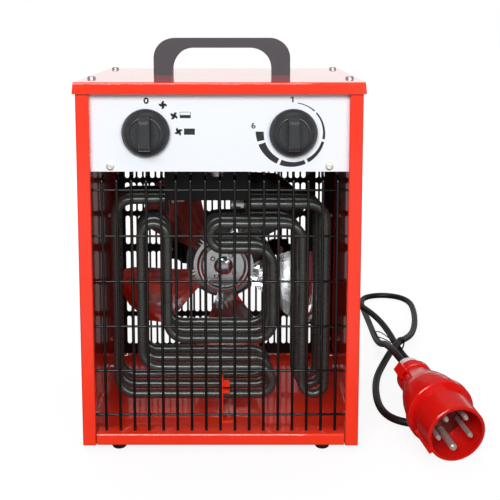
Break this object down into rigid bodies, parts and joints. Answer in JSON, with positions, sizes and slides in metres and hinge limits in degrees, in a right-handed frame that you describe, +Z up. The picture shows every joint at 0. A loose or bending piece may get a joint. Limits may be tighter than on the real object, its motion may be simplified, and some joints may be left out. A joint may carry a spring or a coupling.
{
  "type": "portable electric fan heater",
  "caption": "Box-shaped industrial electric fan heater with tubular elements, an axial fan behind a wire grille, two knobs, a carrying handle, and a lead with an industrial plug.",
  "frame": {"origin": "middle of the footprint of the heater without its free lead, on the floor under the feet", "axes": "+Z up, -Y to the front with the grille and knobs, +X to the right seen from the front"},
  "size_m": [0.3965, 0.5456, 0.387],
  "materials": {
    "red_paint": "glossy powder-coated enamel",
    "black_paint": "glossy black coating",
    "fascia_paint": "satin off-white paint",
    "handle_plastic": "fine-grained moulded plastic",
    "knob_plastic": "satin moulded plastic",
    "zinc_plate": "zinc-plated steel",
    "foot_rubber": "matt moulded rubber",
    "element_steel": "oxidised stainless tube",
    "brass_nut": "plain turned brass",
    "white_ceramic": "unglazed steatite",
    "motor_case": "cast and lacquered",
    "polished_aluminium": "bright rolled sheet",
    "switch_plastic": "glass-filled nylon",
    "copper": "plain copper",
    "lead_rubber": "smooth sheathing",
    "tie_plastic": "plastic-covered wire",
    "plug_red": "glossy moulded polyamide",
    "insert_red": "satin moulded polyamide",
    "nickel_plate": "nickel-plated brass",
    "clear_nylon": "translucent natural nylon"
  },
  "bodies": {
    "heater": {"left_side": "red_paint", "right_side": "red_paint", "base_tray": "red_paint", "top_cover": "red_paint", "rear_grille": "black_paint", "control_fascia": "fascia_paint", "divider_plate": "black_paint", "front_grille": "black_paint", "handle": "handle_plastic", "handle_screws": "zinc_plate", "cover_screws": "zinc_plate", "fascia_screws": "nickel_plate", "side_screws": "zinc_plate", "rear_screws": "zinc_plate", "feet": "foot_rubber", "heating_element_front": "element_steel", "heating_element_middle": "element_steel", "heating_element_rear": "element_steel", "terminal_housing": "black_paint", "element_nuts": "brass_nut", "element_pins": "white_ceramic", "element_support": "red_paint", "support_screws": "zinc_plate", "motor": "motor_case", "motor_bracket": "black_paint", "motor_screws": "zinc_plate", "rotary_switch": "switch_plastic", "thermostat": "switch_plastic", "thermostat_bulb": "copper", "thermal_cutout": "zinc_plate", "terminal_block": "white_ceramic", "inner_lead": "lead_rubber", "lead_grommet": "switch_plastic", "cable_gland": "switch_plastic", "gland_locknut": "switch_plastic", "strain_relief": "lead_rubber", "power_cord": "lead_rubber", "cord_tie": "tie_plastic", "plug_body": "plug_red", "plug_insert": "insert_red", "plug_pins": "nickel_plate", "plug_gland_nut": "clear_nylon"},
    "fan": {"motor_shaft": "zinc_plate", "fan_hub": "polished_aluminium", "fan_blades": "polished_aluminium", "fan_rivets": "polished_aluminium", "fan_cap": "polished_aluminium"},
    "selector": {"selector_spindle": "zinc_plate", "selector_knob": "knob_plastic"},
    "thermostat_control": {"thermostat_spindle": "zinc_plate", "thermostat_knob": "knob_plastic"}
  },
  "joints": [
    {"name": "fan_spin", "type": "hinge", "parent": "heater", "child": "fan", "pos_m": [0, 0.049, 0.138], "axis": [0, 1, 0], "continuous": true},
    {"name": "selector_turn", "type": "hinge", "parent": "heater", "child": "selector", "pos_m": [-0.067, -0.1138, 0.3037], "axis": [0, 1, 0], "range_deg": [0, 90]},
    {"name": "thermostat_turn", "type": "hinge", "parent": "heater", "child": "thermostat_control", "pos_m": [0.067, -0.1138, 0.3037], "axis": [0, 1, 0], "range_deg": [0, 270]}
  ]
}
